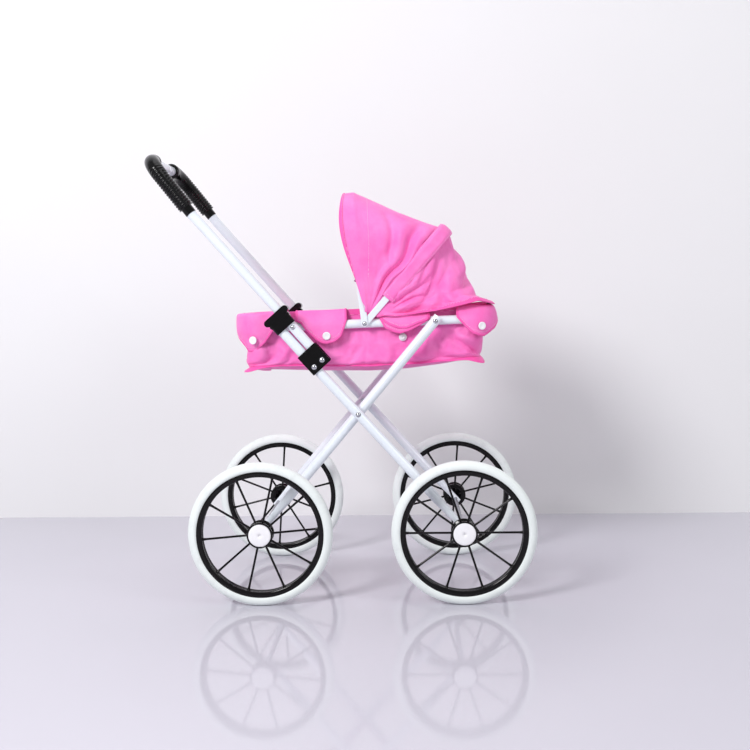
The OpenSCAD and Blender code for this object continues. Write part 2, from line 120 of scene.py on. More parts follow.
class Finish:
    """A node material under construction: a Principled shader and the nodes that feed it."""

    def __init__(self, name, roughness, **sockets):
        self.material = bpy.data.materials.new(name)
        self.material.use_nodes = True
        self.tree = self.material.node_tree
        self.shader = self.tree.nodes["Principled BSDF"]
        self.shader.inputs["Roughness"].default_value = roughness
        for socket, value in sockets.items():
            self.shader.inputs[socket.replace("_", " ")].default_value = value
        self.place = self.tree.nodes.new("ShaderNodeTexCoord").outputs["Object"]

    def node(self, kind, settings=None, **inputs):
        made = self.tree.nodes.new(kind)
        for key, value in (settings or {}).items():
            setattr(made, key, value)
        for key, value in inputs.items():
            socket = made.inputs[int(key[1:])] if key[0] == "i" and key[1:].isdigit() else made.inputs[key]
            if isinstance(value, bpy.types.NodeSocket):
                self.tree.links.new(value, socket)
            else:
                socket.default_value = value
        return made

    def noise(self, size, detail=3.0, roughness=0.55, vector=None):
        """A noise whose grains are about size across; its factor output."""
        made = self.node("ShaderNodeTexNoise", Vector=vector or self.place, Scale=1 / size,
                         Detail=detail, Roughness=roughness)
        return made.outputs["Fac"]

    def curve(self, value, low, high, to_low=0.0, to_high=1.0):
        made = self.node("ShaderNodeMapRange", {"clamp": True}, Value=value)
        for key, number in zip(("From Min", "From Max", "To Min", "To Max"), (low, high, to_low, to_high)):
            made.inputs[key].default_value = number
        return made.outputs["Result"]

    def mix(self, factor, first, second):
        made = self.node("ShaderNodeMix", {"data_type": "RGBA"}, i0=factor)
        for socket, value in ((made.inputs[6], first), (made.inputs[7], second)):
            if isinstance(value, bpy.types.NodeSocket):
                self.tree.links.new(value, socket)
            else:
                socket.default_value = value
        return made.outputs[2]

    def math(self, operation, first, second=0.0):
        return self.node("ShaderNodeMath", {"operation": operation}, i0=first, i1=second).outputs["Value"]

    def colour(self, socket):
        self.tree.links.new(socket, self.shader.inputs["Base Color"])

    def rough(self, value, low, high, to_low, to_high):
        self.tree.links.new(self.curve(value, low, high, to_low, to_high), self.shader.inputs["Roughness"])

    def bump(self, *layers):
        """layers are (height socket, depth in metres, strength), from coarse to fine."""
        normal = None
        for height, depth, strength in layers:
            made = self.node("ShaderNodeBump", Height=height, Distance=depth, Strength=strength)
            if normal is not None:
                self.tree.links.new(normal, made.inputs["Normal"])
            normal = made.outputs["Normal"]
        self.tree.links.new(normal, self.shader.inputs["Normal"])


def paint_finish():
    """Powder coat on steel tube: bluish white, with a faint orange peel and a few dull rubs."""
    f = Finish("white_paint", 0.24, Coat_Weight=0.35, Coat_Roughness=0.12, IOR=1.5)
    tone = f.noise(0.05, 4)
    dirt = f.curve(f.noise(0.011, 6, 0.7), 0.66, 0.8)
    f.colour(f.mix(dirt, f.mix(tone, srgb(226, 235, 244), srgb(238, 244, 249)), srgb(205, 212, 220)))
    f.rough(f.noise(0.02, 5), 0.3, 0.75, 0.18, 0.34)
    f.bump((f.noise(0.0016, 2), 0.00005, 0.12))
    return f.material


def plastic_finish(name, dark, light, roughness, grain, depth):
    """Moulded plastic with a slight uneven gloss and a fine mould texture."""
    f = Finish(name, roughness, IOR=1.36)
    f.colour(f.mix(f.noise(0.018, 5), dark, light))
    f.rough(f.noise(0.012, 6, 0.65), 0.3, 0.72, roughness * 0.8, roughness * 1.3)
    f.bump((f.noise(grain, 2), depth, 0.1))
    return f.material


def foam_finish():
    """Closed-cell foam tyre: matt, nearly white, with fine cells and a few greyer smudges."""
    f = Finish("tyre_foam", 0.62, Sheen_Weight=0.08, IOR=1.42)
    cells = f.node("ShaderNodeTexVoronoi", Vector=f.place, Scale=1 / 0.0011).outputs["Distance"]
    smudge = f.curve(f.noise(0.03, 6, 0.68), 0.52, 0.8)
    f.colour(f.mix(smudge, srgb(233, 240, 238), srgb(214, 219, 219)))
    f.rough(f.noise(0.015, 4), 0.3, 0.7, 0.5, 0.72)
    f.bump((cells, 0.00008, 0.2))
    return f.material


def steel_finish(name, roughness, light):
    """Bright plated steel with fine scratches and a few dull spots."""
    f = Finish(name, roughness, Metallic=1.0)
    f.colour(f.mix(f.noise(0.006, 5), light, srgb(168, 170, 176)))
    f.rough(f.noise(0.0035, 6, 0.7), 0.3, 0.75, roughness * 0.6, roughness * 1.8)
    f.bump((f.noise(0.0012, 4), 0.00006, 0.2))
    return f.material


def cloth_finish(name, light, deep, thread):
    """Woven polyester: a plain weave from the sheet's own layout, soft sheen and blotchy dye."""
    f = Finish(name, 0.5, Sheen_Weight=0.12, Sheen_Roughness=0.4, IOR=1.45,
               Sheen_Tint=srgb(255, 190, 235), Specular_IOR_Level=0.4)
    layout = f.node("ShaderNodeUVMap").outputs["UV"]
    split = f.node("ShaderNodeSeparateXYZ", Vector=layout)
    wave = 2 * math.pi / thread
    warp = f.math("SINE", f.math("MULTIPLY", split.outputs["X"], wave))
    weft = f.math("SINE", f.math("MULTIPLY", split.outputs["Y"], wave))
    weave = f.math("MULTIPLY", warp, weft)
    slub = f.noise(0.004, 5, 0.6)
    blotch = f.curve(f.noise(0.045, 5, 0.6), 0.3, 0.72)
    tone = f.mix(blotch, light, deep)
    tone = f.mix(f.curve(weave, -1.0, 1.0, 0.0, 0.16), tone, deep)
    f.colour(f.mix(f.curve(slub, 0.55, 0.8, 0.0, 0.25), tone, light))
    f.rough(f.noise(0.02, 4), 0.3, 0.7, 0.42, 0.56)
    f.bump((f.noise(0.016, 4, 0.6), 0.0016, 0.4), (f.noise(0.0045, 4), 0.0004, 0.25), (weave, 0.0001, 0.3))
    return f.material


FINISHES = {
    "white_paint": paint_finish(),
    "black_plastic": plastic_finish("black_plastic", srgb(3, 3, 4), srgb(10, 9, 11), 0.14, 0.0011, 0.00002),
    "wheel_plastic": plastic_finish("wheel_plastic", srgb(4, 3, 4), srgb(12, 9, 12), 0.12, 0.0014, 0.00002),
    "grip_vinyl": plastic_finish("grip_vinyl", srgb(3, 3, 3), srgb(9, 9, 10), 0.16, 0.0009, 0.00002),
    "white_plastic": plastic_finish("white_plastic", srgb(236, 236, 240), srgb(248, 248, 250), 0.28,
                                    0.001, 0.00001),
    "tyre_foam": foam_finish(),
    "bright_steel": steel_finish("bright_steel", 0.16, srgb(214, 216, 222)),
    "axle_steel": steel_finish("axle_steel", 0.3, srgb(190, 192, 198)),
    "cloth": cloth_finish("cloth", srgb(255, 138, 208), srgb(251, 106, 190), 0.0007),
    "cloth_trim": cloth_finish("cloth_trim", srgb(253, 108, 188), srgb(245, 82, 170), 0.0005),
}
THREAD = plastic_finish("sewing_thread", srgb(255, 176, 218), srgb(255, 205, 232), 0.6, 0.0004, 0.00004)


# ---------------------------------------------------------------- mesh helpers

def piece(name, points, faces, finish, body=None, stands_for=(), uv=None, smooth=True):
    """A new mesh object; finish is a material slot's name, or a material."""
    mesh = bpy.data.meshes.new(name)
    mesh.from_pydata([tuple(map(float, p)) for p in points], [], faces)
    if uv is not None:
        layer = mesh.uv_layers.new(name="layout")
        corner = np.zeros(len(mesh.loops), np.int32)
        mesh.loops.foreach_get("vertex_index", corner)
        layer.data.foreach_set("uv", np.asarray(uv, np.float32)[corner].ravel())
    mesh.validate()
    mesh.update()
    made = bpy.data.objects.new(name, mesh)
    bpy.context.scene.collection.objects.link(made)
    if isinstance(finish, str):
        mesh.materials.append(FINISHES[finish])
    else:
        mesh.materials.append(finish)
    if smooth:
        mesh.polygons.foreach_set("use_smooth", [True] * len(mesh.polygons))
    if stands_for:
        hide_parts(*stands_for)
    if body:
        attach(made, body)
    return made


def crisp(made, width, segments=3, angle=35):
    """Rounds an object's sharp edges by width."""
    bevel = made.modifiers.new("edges", "BEVEL")
    bevel.width = width
    bevel.segments = segments
    bevel.limit_method = "ANGLE"
    bevel.angle_limit = math.radians(angle)
    return made


def soften(made, levels=1):
    subdivision = made.modifiers.new("soft", "SUBSURF")
    subdivision.levels = levels
    subdivision.render_levels = levels
    return made


def grid_faces(rows, columns, wrap=False, first=0, flip=False):
    faces = []
    for i in range(rows - 1):
        for j in range(columns if wrap else columns - 1):
            k = (j + 1) % columns
            quad = [first + i * columns + j, first + i * columns + k,
                    first + (i + 1) * columns + k, first + (i + 1) * columns + j]
            faces.append(quad[::-1] if flip else quad)
    return faces


def slopes(grid, wrap=False):
    """Unit normals of a grid of points."""
    down = np.gradient(grid, axis=0)
    if wrap:
        over = (np.roll(grid, -1, axis=1) - np.roll(grid, 1, axis=1)) / 2
    else:
        over = np.gradient(grid, axis=1)
    normal = np.cross(over, down)
    size = np.linalg.norm(normal, axis=2, keepdims=True)
    return normal / np.maximum(size, 1e-12)


def facing(grid, inside, wrap=False):
    """Unit normals of a grid, turned to point away from a place inside it."""
    normal = slopes(grid, wrap)
    return normal * np.sign((normal * (grid - inside)).sum())


def layout(grid):
    """Each point's place on the flat sheet, from lengths measured along the grid's own lines."""
    over = np.linalg.norm(np.diff(grid, axis=1), axis=2)
    down = np.linalg.norm(np.diff(grid, axis=0), axis=2)
    u = np.concatenate([np.zeros((grid.shape[0], 1)), np.cumsum(over, axis=1)], axis=1)
    v = np.concatenate([np.zeros((1, grid.shape[1])), np.cumsum(down, axis=0)], axis=0)
    return np.stack([u, v], axis=-1)


def slab(name, grid, thickness, finish, lift=0.0, wrap=False, normals=None, **options):
    """A closed thin sheet on a grid of points. lift moves it outwards, along the normals."""
    grid = np.asarray(grid, float)
    rows, columns = grid.shape[:2]
    if normals is None:
        normals = slopes(grid, wrap)
    outer = grid + normals * (lift + thickness / 2)
    inner = grid + normals * (lift - thickness / 2)
    count = rows * columns
    points = np.concatenate([outer.reshape(-1, 3), inner.reshape(-1, 3)])
    faces = grid_faces(rows, columns, wrap) + grid_faces(rows, columns, wrap, first=count, flip=True)
    for edge in (0, rows - 1):
        for j in range(columns if wrap else columns - 1):
            k = (j + 1) % columns
            a, b = edge * columns + j, edge * columns + k
            quad = [a, a + count, b + count, b]
            faces.append(quad if edge == 0 else quad[::-1])
    if not wrap:
        for edge in (0, columns - 1):
            for i in range(rows - 1):
                a, b = i * columns + edge, (i + 1) * columns + edge
                quad = [a, b, b + count, a + count]
                faces.append(quad if edge == 0 else quad[::-1])
    flat = layout(grid).reshape(-1, 2)
    return piece(name, points, faces, finish, uv=np.concatenate([flat, flat]), **options)


def turned(centre, y, profile, steps=96):
    """Points and faces of a closed profile of (radius, distance across) turned about a wheel's axis."""
    angles = np.linspace(0, 2 * math.pi, steps, endpoint=False)
    profile = np.asarray(profile, float)
    x = centre[0] + np.outer(np.cos(angles), profile[:, 0])
    z = centre[1] + np.outer(np.sin(angles), profile[:, 0])
    across = y + np.tile(profile[:, 1], (steps, 1))
    points = np.stack([x, across, z], axis=-1)
    n = len(profile)
    faces = [[i * n + j, i * n + k, after * n + k, after * n + j]
             for i, after in zip(range(steps), [*range(1, steps), 0])
             for j, k in zip(range(n), [*range(1, n), 0])]
    return points.reshape(-1, 3), faces


def sweep(path, radii, sides=24):
    """Points and faces of a tube along a path of points, with a radius at each."""
    path = np.asarray(path, float)
    count = len(path)
    radii = np.broadcast_to(radii, count)
    tangent = np.gradient(path, axis=0)
    tangent /= np.linalg.norm(tangent, axis=1, keepdims=True)
    side = np.cross(tangent[0], [0.0, 0.0, 1.0])
    if np.linalg.norm(side) < 1e-6:
        side = np.cross(tangent[0], [0.0, 1.0, 0.0])
    points = []
    angles = np.linspace(0, 2 * math.pi, sides, endpoint=False)
    for i in range(count):
        side = side - tangent[i] * np.dot(side, tangent[i])
        side /= np.linalg.norm(side)
        other = np.cross(tangent[i], side)
        ring = np.outer(np.cos(angles), side) + np.outer(np.sin(angles), other)
        points.append(path[i] + ring * radii[i])
    faces = grid_faces(count, sides, wrap=True)
    faces.append(list(range(sides)))
    faces.append([(count - 1) * sides + j for j in range(sides)][::-1])
    return np.concatenate(points), faces


def joined(parts):
    """Several (points, faces) as one."""
    points, faces, first = [], [], 0
    for some_points, some_faces in parts:
        points.append(np.asarray(some_points, float))
        faces += [[first + i for i in f] for f in some_faces]
        first += len(some_points)
    return np.concatenate(points), faces


def evenly(line, count):
    """count points at even distances along a polyline."""
    line = np.asarray(line, float)
    reach = np.concatenate([[0], np.cumsum(np.linalg.norm(np.diff(line, axis=0), axis=1))])
    wanted = np.linspace(0, reach[-1], count)
    return np.stack([np.interp(wanted, reach, line[:, i]) for i in range(line.shape[1])], axis=1)


def stitches(name, line, normals, body=None, pitch=2.6 * MM, width=0.28 * MM, proud=0.3 * MM):
    """A row of sewn stitches along a line on cloth."""
    line, normals = np.asarray(line, float), np.asarray(normals, float)
    length = np.linalg.norm(np.diff(line, axis=0), axis=1).sum()
    count = max(2, int(length / pitch))
    both = evenly(np.concatenate([line, normals], axis=1), 2 * count)
    parts = []
    for i in range(0, 2 * count - 1, 2):
        a, b = both[i, :3] + both[i, 3:] * proud, both[i + 1, :3] + both[i + 1, 3:] * proud
        dip = both[i, 3:] * width
        path = [a - dip, a + (b - a) * 0.2, (a + b) / 2 + dip * 0.4, a + (b - a) * 0.8, b - dip]
        parts.append(sweep(path, [width * 0.5, width, width, width, width * 0.5], sides=6))
    return piece(name, *joined(parts), THREAD, body=body)


def settle(made, held, frames, slack, cap, gravity=1.0, stiffness=8.0, bending=0.6):
    """Lets a single sheet hang for some frames, with its held points fixed and no point moving over cap."""
    before = np.array([v.co for v in made.data.vertices], float)
    group = made.vertex_groups.new(name="held")
    group.add([int(i) for i in held], 1.0, "REPLACE")
    cloth = made.modifiers.new("hang", "CLOTH")
    settings = cloth.settings
    settings.quality = 6
    settings.mass = 0.12
    settings.vertex_group_mass = "held"
    settings.shrink_min = -slack
    settings.tension_stiffness = stiffness
    settings.compression_stiffness = stiffness
    settings.shear_stiffness = stiffness / 2
    settings.bending_stiffness = bending
    settings.air_damping = 3.0
    settings.effector_weights.gravity = gravity
    cloth.collision_settings.use_collision = False
    for number in range(1, frames + 1):
        bpy.context.scene.frame_set(number)
    settled = made.evaluated_get(bpy.context.evaluated_depsgraph_get()).to_mesh()
    after = np.array([v.co for v in settled.vertices], float)
    bpy.context.scene.frame_set(1)
    made.modifiers.clear()
    move = after - before
    far = np.linalg.norm(move, axis=1, keepdims=True)
    return before + move * np.minimum(1.0, cap / np.maximum(far, 1e-9))


def hung(name, grid, held_rows, wrap=False, **how):
    """A grid of points after settle(), from a helper sheet that is thrown away."""
    rows, columns = grid.shape[:2]
    held = [i * columns + j for i in held_rows for j in range(columns)]
    helper = piece(name, grid.reshape(-1, 3), grid_faces(rows, columns, wrap), "cloth")
    result = settle(helper, held, **how).reshape(grid.shape)
    bpy.data.objects.remove(helper)
    return result


def ripple(x, y, seed):
    """Smooth noise from -1 to 1 at a place given in fold widths."""
    return noise.noise(Vector((float(x), float(y), seed * 7.31)))


def crease(x, y, seed):
    """Folds with sharp valleys, from 0 in a valley to 1 on a crest."""
    bend = 0.8 * ripple(x * 0.5, y * 0.5, seed + 3)
    return min(1.0, 2.4 * abs(ripple(x + bend, y - bend, seed)))


def blend_curve(t):
    return t * t * (3 - 2 * t)


def gauss(x, centre, width):
    return np.exp(-((np.asarray(x, float) - centre) / width) ** 2)


def ease(x, low, high):
    """0 below low, 1 above high and a smooth rise between them."""
    return blend_curve(np.clip((np.asarray(x, float) - low) / (high - low), 0.0, 1.0))


def field(kind, x, y, seed):
    """ripple() or crease() at every point of a grid, at places x and y given in fold widths."""
    x, y = np.broadcast_arrays(x, y)
    return np.array([[kind(a, b, seed) for a, b in zip(*row)] for row in zip(x, y)])


# ---------------------------------------------------------------- frame

def frame_parts():
    """The CAD nodes that stay, with their finishes; the moulded blocks get rounded edges."""
    for part in frame["record"]["subparts"]:
        for slot in frame["nodes"][part["node"]].material_slots:
            slot.material = FINISHES[part["material_slot"]]
    for side in SIDES:
        crisp(frame["nodes"][f"bracket_{side}"], 0.7 * MM)
        crisp(frame["nodes"][f"lock_sleeve_{side}"], 0.6 * MM, 2)


# ---------------------------------------------------------------- wheels

SPOKES = 10
HUB_RIBS = 6
PHASES = {"front_right": 0.0, "rear_right": -5.0, "front_left": 22.0, "rear_left": 22.0}
RIM_OUT = 96.5 * MM
CROWN = 9.5 * MM
HUB_HALF = 11.5 * MM


def tyre(corner, centre, y, radius):
    around = np.radians(np.linspace(-97, 97, 23))
    profile = [(radius - CROWN + CROWN * math.cos(t), CROWN * math.sin(t)) for t in around]
    profile += [(RIM_OUT + 0.2 * MM, 8.6 * MM), (RIM_OUT - 0.6 * MM, 7.2 * MM)]
    profile += [(RIM_OUT - 0.6 * MM, -7.2 * MM), (RIM_OUT + 0.2 * MM, -8.6 * MM)]
    return piece(f"{corner}_tyre_foam", *turned(centre, y, profile, 144), "tyre_foam",
                 f"{corner}_roller", (f"{corner}_tyre",))


def rod(centre, angle, y, reach, radii, sides):
    """Points and faces of a rod that stands out from a wheel's axis, with its stations in millimetres."""
    reach = np.array(reach) * MM
    path = np.stack([centre[0] + reach * math.cos(angle), np.full(len(reach), y),
                     centre[1] + reach * math.sin(angle)], axis=-1)
    return sweep(path, np.array(radii) * MM, sides=sides)


def wheel(corner, centre, y, out):
    """Rim, ten spokes and hub, moulded in one; out is the side, 1 or -1, that faces outwards."""
    rim = [(96.5, -8), (95.9, -8.5), (93.5, -8.6), (90, -8.3), (88.4, -7.6), (88, -6.2), (88.8, -4.6),
           (89.3, -2), (89.3, 2), (88.8, 4.6), (88, 6.2), (88.4, 7.6), (90, 8.3), (93.5, 8.6),
           (95.9, 8.5), (96.5, 8)]
    hub = [(3.1, -11.5), (18.9, -11.5), (19.5, -11.1), (19.7, -10.4), (19.7, -8.4), (19.2, -7.6),
           (13, -6.6), (12, -5.6), (11.4, -2), (11.4, 2), (12, 5.6), (13, 6.6), (19.2, 7.6),
           (19.7, 8.4), (19.7, 10.6), (19.3, 11.3), (18.6, 11.5), (17.6, 11.3), (17.1, 10.6),
           (17.05, 9.9), (3.1, 9.9)]
    parts = [turned(centre, y, [(r * MM, out * w * MM) for r, w in shape], steps)
             for shape, steps in ((rim, 144), (hub, 72))]
    for i in range(SPOKES):
        parts.append(rod(centre, -math.radians(PHASES[corner]) - i * 2 * math.pi / SPOKES, y,
                         [10.6, 13, 16, 40, 65, 82, 86.4, 88.2, 89.4],
                         [2.9, 2.2, 1.75, 1.7, 1.7, 1.75, 2.1, 2.7, 3.2], 16))
    for i in range(HUB_RIBS):
        parts.append(rod(centre, math.radians(18) + i * math.pi / 3, y - out * HUB_HALF,
                         [7.5, 17.6], [1.5, 0.7], 8))
    return piece(f"{corner}_rim_and_spokes", *joined(parts), "wheel_plastic", f"{corner}_roller",
                 (f"{corner}_wheel",))


def cap(corner, centre, y, out):
    shape = [(0.05, 10.0), (16.9, 10.0), (16.9, 11.3), (16.6, 11.8), (16, 12.1), (14, 12.4), (11, 12.65),
             (6, 12.85), (0.05, 12.9)]
    return piece(f"{corner}_hub_cap", *turned(centre, y, [(r * MM, out * w * MM) for r, w in shape], 72),
                 "white_plastic", f"{corner}_roller", (f"{corner}_cap",))


def wheels():
    for end in AXLES:
        for side, out in SIDES.items():
            corner = f"{end}_{side}"
            low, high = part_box(f"{corner}_tyre")
            y = (low.y + high.y) / 2
            tyre(corner, AXLES[end], y, (high.z - low.z) / 2)
            wheel(corner, AXLES[end], y, out)
            cap(corner, AXLES[end], y, out)


# ---------------------------------------------------------------- grips

HANDLE_LOW = 294 * MM
HANDLE_TOP = 106 * MM
HANDLE_BEND = math.radians(3)
HANDLE_CORNER = 40 * MM
LEG_Y = 109.5 * MM
KNEE = HANDLE + HANDLE_LOW * ahead(HANDLE_ANGLE)
TOP_ANGLE = HANDLE_ANGLE - HANDLE_BEND
RIB_PITCH = 4.5 * MM
RIBBED = 81 * MM


def grip(side, slip):
    """A vinyl sleeve: a plain collar, rings that fade out round the corner, and a flared open end."""
    collar = 12 * MM
    start = slip + 2 * MM
    straight = HANDLE_TOP - HANDLE_CORNER
    turn = HANDLE_CORNER * math.pi / 2
    end = straight + turn + slip + 1.5 * MM
    step = 0.01 * MM
    reach = np.concatenate([[start - step, start], np.arange(start + 0.3 * MM, end - 0.2 * MM, 0.45 * MM),
                            [end, end + step]])
    angle = np.clip((reach - straight) / HANDLE_CORNER, 0, math.pi / 2)
    along = np.minimum(reach, straight) + HANDLE_CORNER * np.sin(angle)
    across = LEG_Y - HANDLE_CORNER * (1 - np.cos(angle)) - np.maximum(reach - straight - turn, 0)
    path = on_bar(KNEE, TOP_ANGLE, along, SIDES[side] * across)
    past = reach - start - collar
    wave = np.clip(0.5 + 0.5 * np.cos(2 * math.pi * past / RIB_PITCH), 0.0, 1.0)
    groove = 1.35 * MM * (1 - wave ** 0.6) * (1 - ease(past, RIBBED * 0.72, RIBBED))
    radius = 12 * MM - groove
    radius = np.where(past < 0, 8.6 * MM - 0.25 * MM * (1 - ease(reach - start, 0, 1.2 * MM)), radius)
    lip = ease(end - reach, 0, 5 * MM)
    radius = np.where(past > RIBBED, radius - 0.5 * MM * gauss(end - reach, 6 * MM, 2.4 * MM), radius)
    radius = np.where(end - reach < 0.9 * MM, 11.2 * MM, radius + 0.5 * MM * (1 - lip) * (past > 0))
    radius[0] = radius[-1] = 7.55 * MM
    return piece(f"ribbed_grip_{side}", *sweep(path, radius, sides=40), "grip_vinyl", "handle",
                 (f"grip_{side}",))


def grips():
    grip("right", 0.0)
    grip("left", 12 * MM)


# ---------------------------------------------------------------- hood

FRONT_BOW = math.radians(96.4)
MID_BOW = math.radians(48.5)
HOOD_REACH = 207.2 * MM
BOW_W = 10 * MM
BOW_T = 1.4 * MM
CLOTH_T = 0.9 * MM
HOOD_INSIDE = np.array([HOOD[0] + 0.03, 0.0, HOOD[1] + 0.06])
PANEL_INSIDE = np.array([HOOD[0], 0, HOOD[1] + 0.05])
# points along an arch: each side, each corner and half its top
SIDE_N, TURN_N, TOP_N = 40, 16, 18
# rows of the front panel before its bow's edge, over the bow and behind it, and rows of the rear panel
HEM_ROWS, OVER_BOW_ROWS, FRONT_ROWS, REAR_ROWS = 5, 4, 54, 52


def arch(reach, half, corner, start):
    """(distance from the pivot, distance across) over the hood: up its right side, across, down its left."""
    side = [(r, -half) for r in np.linspace(start, reach - corner, SIDE_N, endpoint=False)]
    turn = [(reach - corner + corner * math.sin(t), -half + corner - corner * math.cos(t))
            for t in np.linspace(0, math.pi / 2, TURN_N, endpoint=False)]
    top = [(reach, y) for y in np.linspace(-half + corner, 0, TOP_N)]
    right = side + turn + top
    return np.array(right + [(r, -y) for r, y in right[-2::-1]])


def about_hood(line, angle):
    """Places of an arch's points at an angle, or at one angle each, about the hood pivot."""
    return np.stack([HOOD[0] + line[:, 0] * np.cos(angle), line[:, 1],
                     HOOD[1] + line[:, 0] * np.sin(angle)], axis=-1)


def bow(name, angle, reach, half, corner, body, stands_for):
    """A flat steel bow with round ends, standing in its own plane."""
    line = arch(reach, half, corner, -BOW_W / 2)
    points = about_hood(line, angle)
    edge = np.sqrt(np.maximum(0.25 * BOW_W ** 2 - np.minimum(line[:, 0], 0) ** 2, (0.4 * MM) ** 2))
    width = np.array([-math.sin(angle), 0.0, math.cos(angle)])
    grid = points[:, None, :] + np.linspace(-1, 1, 5)[None, :, None] * edge[:, None, None] * width
    return crisp(slab(name, grid, BOW_T, "white_paint", body=body, stands_for=stands_for), 0.45 * MM, 2)


def front_edge(reach):
    """Angle of the hood's front hem on the side, at a distance from the pivot."""
    mm = np.asarray(reach, float) / MM
    hem = 92.5 + 6.2 * mm / 207 + 8.6 * np.sin(math.pi * (mm - 12) / 200)
    return np.radians(np.where(mm < 34, np.interp(mm, [18, 34], [77, 97.2]), hem))


def front_cloth_grid():
    """The front panel: past the front bow at its hem, and drawn tight between the two bows."""
    front = arch(HOOD_REACH + 0.9 * MM, 86.4 * MM, 80 * MM, 18 * MM)
    back = arch(193.5 * MM, 81.4 * MM, 42 * MM, 18 * MM)
    edge = front_edge(front[:, 0])
    half_bow = np.minimum(6 * MM / np.maximum(front[:, 0], 12 * MM), math.radians(9))
    at_hem = about_hood(front, np.maximum(edge, FRONT_BOW - half_bow))
    before_bow = about_hood(front, np.clip(edge, FRONT_BOW - half_bow, FRONT_BOW + half_bow))
    behind = np.radians(np.interp(front[:, 0] / MM, [18, 34], [10, 0]))
    after_bow = about_hood(front, FRONT_BOW - half_bow - behind)
    at_mid = about_hood(back, MID_BOW)
    rows = [at_hem + (before_bow - at_hem) * f for f in np.linspace(0, 1, HEM_ROWS, endpoint=False)]
    over_bow = np.linspace(0, 1, OVER_BOW_ROWS, endpoint=False)
    rows += [before_bow + (after_bow - before_bow) * f for f in over_bow]
    rows += [after_bow + (at_mid - after_bow) * t for t in np.linspace(0, 1, FRONT_ROWS)]
    grid = np.stack(rows)
    reach = np.hypot(grid[..., 0] - HOOD[0], grid[..., 2] - HOOD[1]) / MM
    t = np.concatenate([np.zeros(HEM_ROWS + OVER_BOW_ROWS), np.linspace(0, 1, FRONT_ROWS)])[:, None]
    normal = facing(grid, PANEL_INSIDE)
    side = ease(np.abs(grid[..., 1]) / MM, 40, 78)
    free = np.sin(math.pi * t) ** 0.6
    body = ease(reach, 22, 75) * (1 - 0.55 * ease(reach, 150, 196))
    sway = 0.05 * np.sin(reach / 26) + 0.03 * np.sin(reach / 11 + 1)
    lean = 0.16 * (1 - reach / 200)
    folds = (-7.5 * gauss(t + sway * 0.4, 0.94 - 0.25 * lean, 0.03)
             + 5.5 * gauss(t + sway, 0.86 - lean, 0.05)
             - 5.0 * gauss(t + sway, 0.76 - 1.4 * lean, 0.04)
             + 4.2 * gauss(t + sway, 0.62 - lean, 0.08)
             - 4.6 * gauss(t - sway, 0.3 + 0.6 * (1 - reach / 200), 0.05) * ease(reach, 90, 120))
    sag = -2.6 * free * (1 - 0.5 * side)
    across = grid[..., 1]
    wrinkle = field(ripple, reach / 42, t * 3.2 + 0.01 * across / MM, 4.0)
    small = field(ripple, reach / 13, t * 9.0 + across / (30 * MM), 9.0)
    lift = folds * body * side * free ** 0.5 + sag + free * body * (3.2 * wrinkle + 1.0 * small)
    flutter = field(ripple, reach / 30, across / (45 * MM), 2.0)
    lift = lift + 1.1 * flutter * (1 - ease(t, 0, 0.12)) * ease(reach, 40, 70)
    return grid + normal * lift[..., None] * MM


REAR_STATIONS = (
    # share of the way from the middle bow to the hem, reach, half width and corner in millimetres
    (0.0, 193.5, 81.4, 42), (0.17, 189.5, 80.5, 44), (0.36, 187, 80, 46), (0.61, 178, 80, 46),
    (0.84, 181, 80.5, 44), (0.9, 192, 82, 42), (0.93, 199, 82.8, 40), (1.0, 205, 83.5, 40),
)


def rear_edge(reach):
    """Angle of the hood's rear hem on the side, at a share of its reach in millimetres."""
    return np.radians(np.interp(reach / MM, [24, 50, 110, 178, 204], [25, 11.5, 9.3, 10.6, 7.4]))


def rear_cloth_grid():
    """The rear panel: sagging between the middle bow and the hem, which flares over the bassinet's rim."""
    share, reach, half, corner = (np.array(v) for v in zip(*REAR_STATIONS))
    rows = []
    for f in np.linspace(0, 1, REAR_ROWS):
        top, wide, turn = (np.interp(f, share, v) * MM for v in (reach, half, corner))
        line = arch(top, wide, turn, (18 + 5 * f) * MM)
        angle = MID_BOW + (rear_edge(line[:, 0] * 204 * MM / top) - MID_BOW) * f
        rows.append(about_hood(line, angle))
    grid = np.stack(rows)
    mm_reach = np.hypot(grid[..., 0] - HOOD[0], grid[..., 2] - HOOD[1]) / MM
    t = np.linspace(0, 1, REAR_ROWS)[:, None]
    normal = facing(grid, PANEL_INSIDE)
    side = ease(np.abs(grid[..., 1]) / MM, 40, 78)
    free = np.sin(math.pi * t) ** 0.7
    body = ease(mm_reach, 24, 70)
    across = grid[..., 1]
    slant = field(crease, mm_reach / 60 + t * 1.5, t * 2.6 - mm_reach / 130 + across / (90 * MM), 11.0)
    small = field(ripple, mm_reach / 15, t * 8 + across / (26 * MM), 5.0)
    pucker = field(ripple, mm_reach / 9, across / (11 * MM), 3.0)
    lift = (11.5 * (slant - 0.66) * free * body + 1.3 * small * free * body
            + 1.9 * pucker * gauss(t, 0.08, 0.07) * ease(mm_reach, 90, 150)
            - 3.2 * side * free * ease(mm_reach, 60, 120))
    return grid + normal * lift[..., None] * MM


def hem_rows(grid, first, last, count=6):
    """A strip of a grid between two row numbers, which may be fractions."""
    wanted = np.linspace(first, last, count)
    low = np.clip(np.floor(wanted).astype(int), 0, len(grid) - 2)
    part = (wanted - low)[:, None, None]
    return grid[low] * (1 - part) + grid[low + 1] * part


def strip(name, grid, normals, first, last, thickness, finish, count=6, **options):
    """A thin sheet over part of another, from its row first to its row last."""
    return slab(name, hem_rows(grid, first, last, count), thickness, finish,
                normals=hem_rows(normals, first, last, count), **options)


def row_stitches(name, grid, normals, row, proud):
    return stitches(name, hem_rows(grid, row, row + 0.1, 2)[0], hem_rows(normals, row, row + 0.1, 2)[0],
                    proud=proud)


